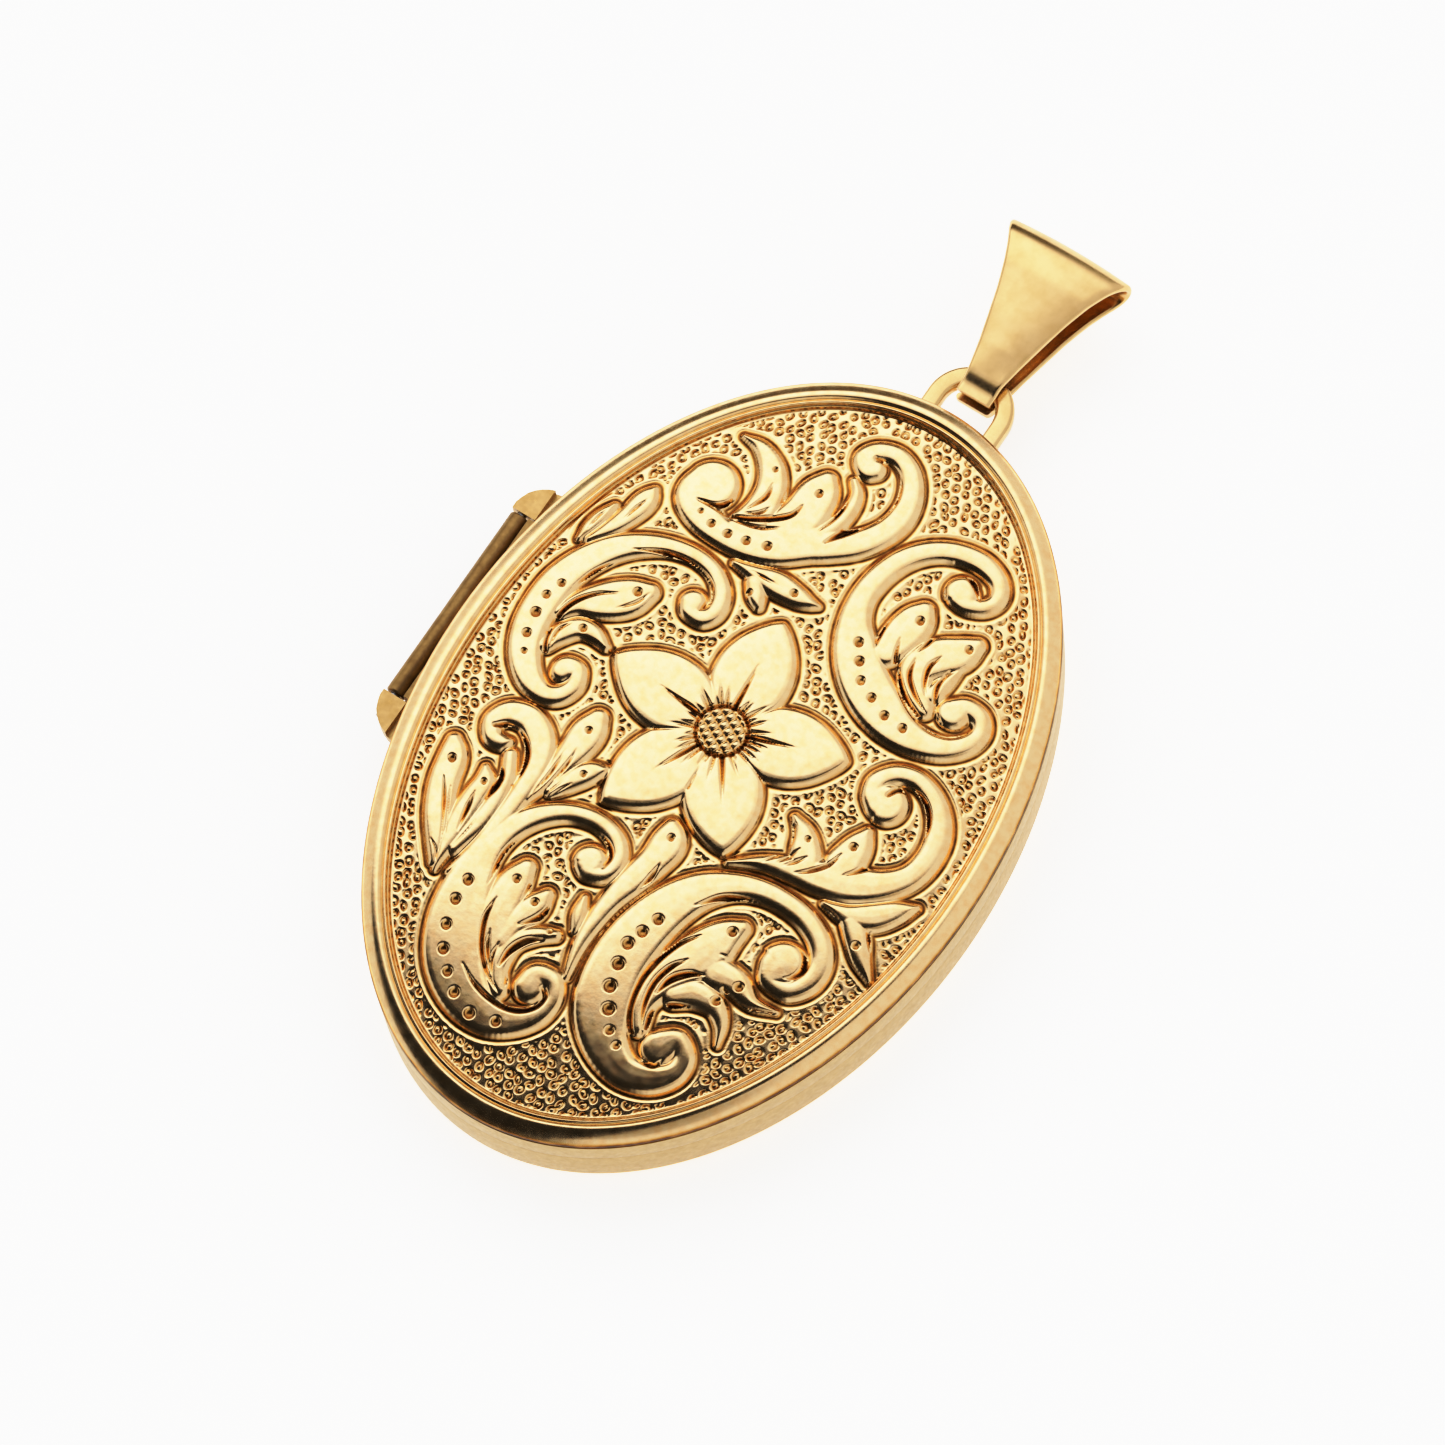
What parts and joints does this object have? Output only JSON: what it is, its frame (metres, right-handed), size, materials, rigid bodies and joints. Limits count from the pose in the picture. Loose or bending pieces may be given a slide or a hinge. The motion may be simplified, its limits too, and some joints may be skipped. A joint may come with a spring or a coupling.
{
  "type": "oval locket",
  "caption": "Oval gold locket with an embossed flower and scroll front, a side hinge, picture frames inside and a folded bail on a half ring.",
  "frame": {"origin": "middle of the flat back, on the surface the closed locket rests on", "axes": "+Z out of the embossed front, +Y along the oval towards the bail, hinge on the -X side"},
  "size_m": [0.0268, 0.0465, 0.0054],
  "materials": {
    "polished_gold": "polished yellow gold, darker patina in the recesses",
    "satin_gold": "satin yellow gold, finely brushed",
    "pin_steel": "drawn wire",
    "picture_card": "matt ivory card",
    "clear_window": "clear celluloid window"
  },
  "bodies": {
    "back_half": {"back_plate": "polished_gold", "back_band": "satin_gold", "snap_lip": "polished_gold", "back_bezel": "polished_gold", "back_picture_card": "picture_card", "back_window": "clear_window", "back_picture_frame": "polished_gold", "back_hinge_bearer": "satin_gold", "hinge_ear_upper": "satin_gold", "hinge_ear_lower": "satin_gold", "hinge_pin": "pin_steel", "bail_ring": "satin_gold"},
    "front_half": {"front_plate": "polished_gold", "front_band": "satin_gold", "front_bezel": "polished_gold", "front_picture_card": "picture_card", "front_window": "clear_window", "front_picture_frame": "polished_gold", "front_hinge_bearer": "satin_gold", "hinge_knuckle": "satin_gold"},
    "bail": {"bail": "satin_gold"}
  },
  "joints": [
    {"name": "front_opens", "type": "hinge", "parent": "back_half", "child": "front_half", "pos_m": [-0.01349, 0, 0.00305], "axis": [0, -1, 0], "range_deg": [0, 175]},
    {"name": "bail_swings", "type": "hinge", "parent": "back_half", "child": "bail", "pos_m": [0, 0.02097, 0.00255], "axis": [1, 0, 0], "range_deg": [-110, 110]}
  ]
}
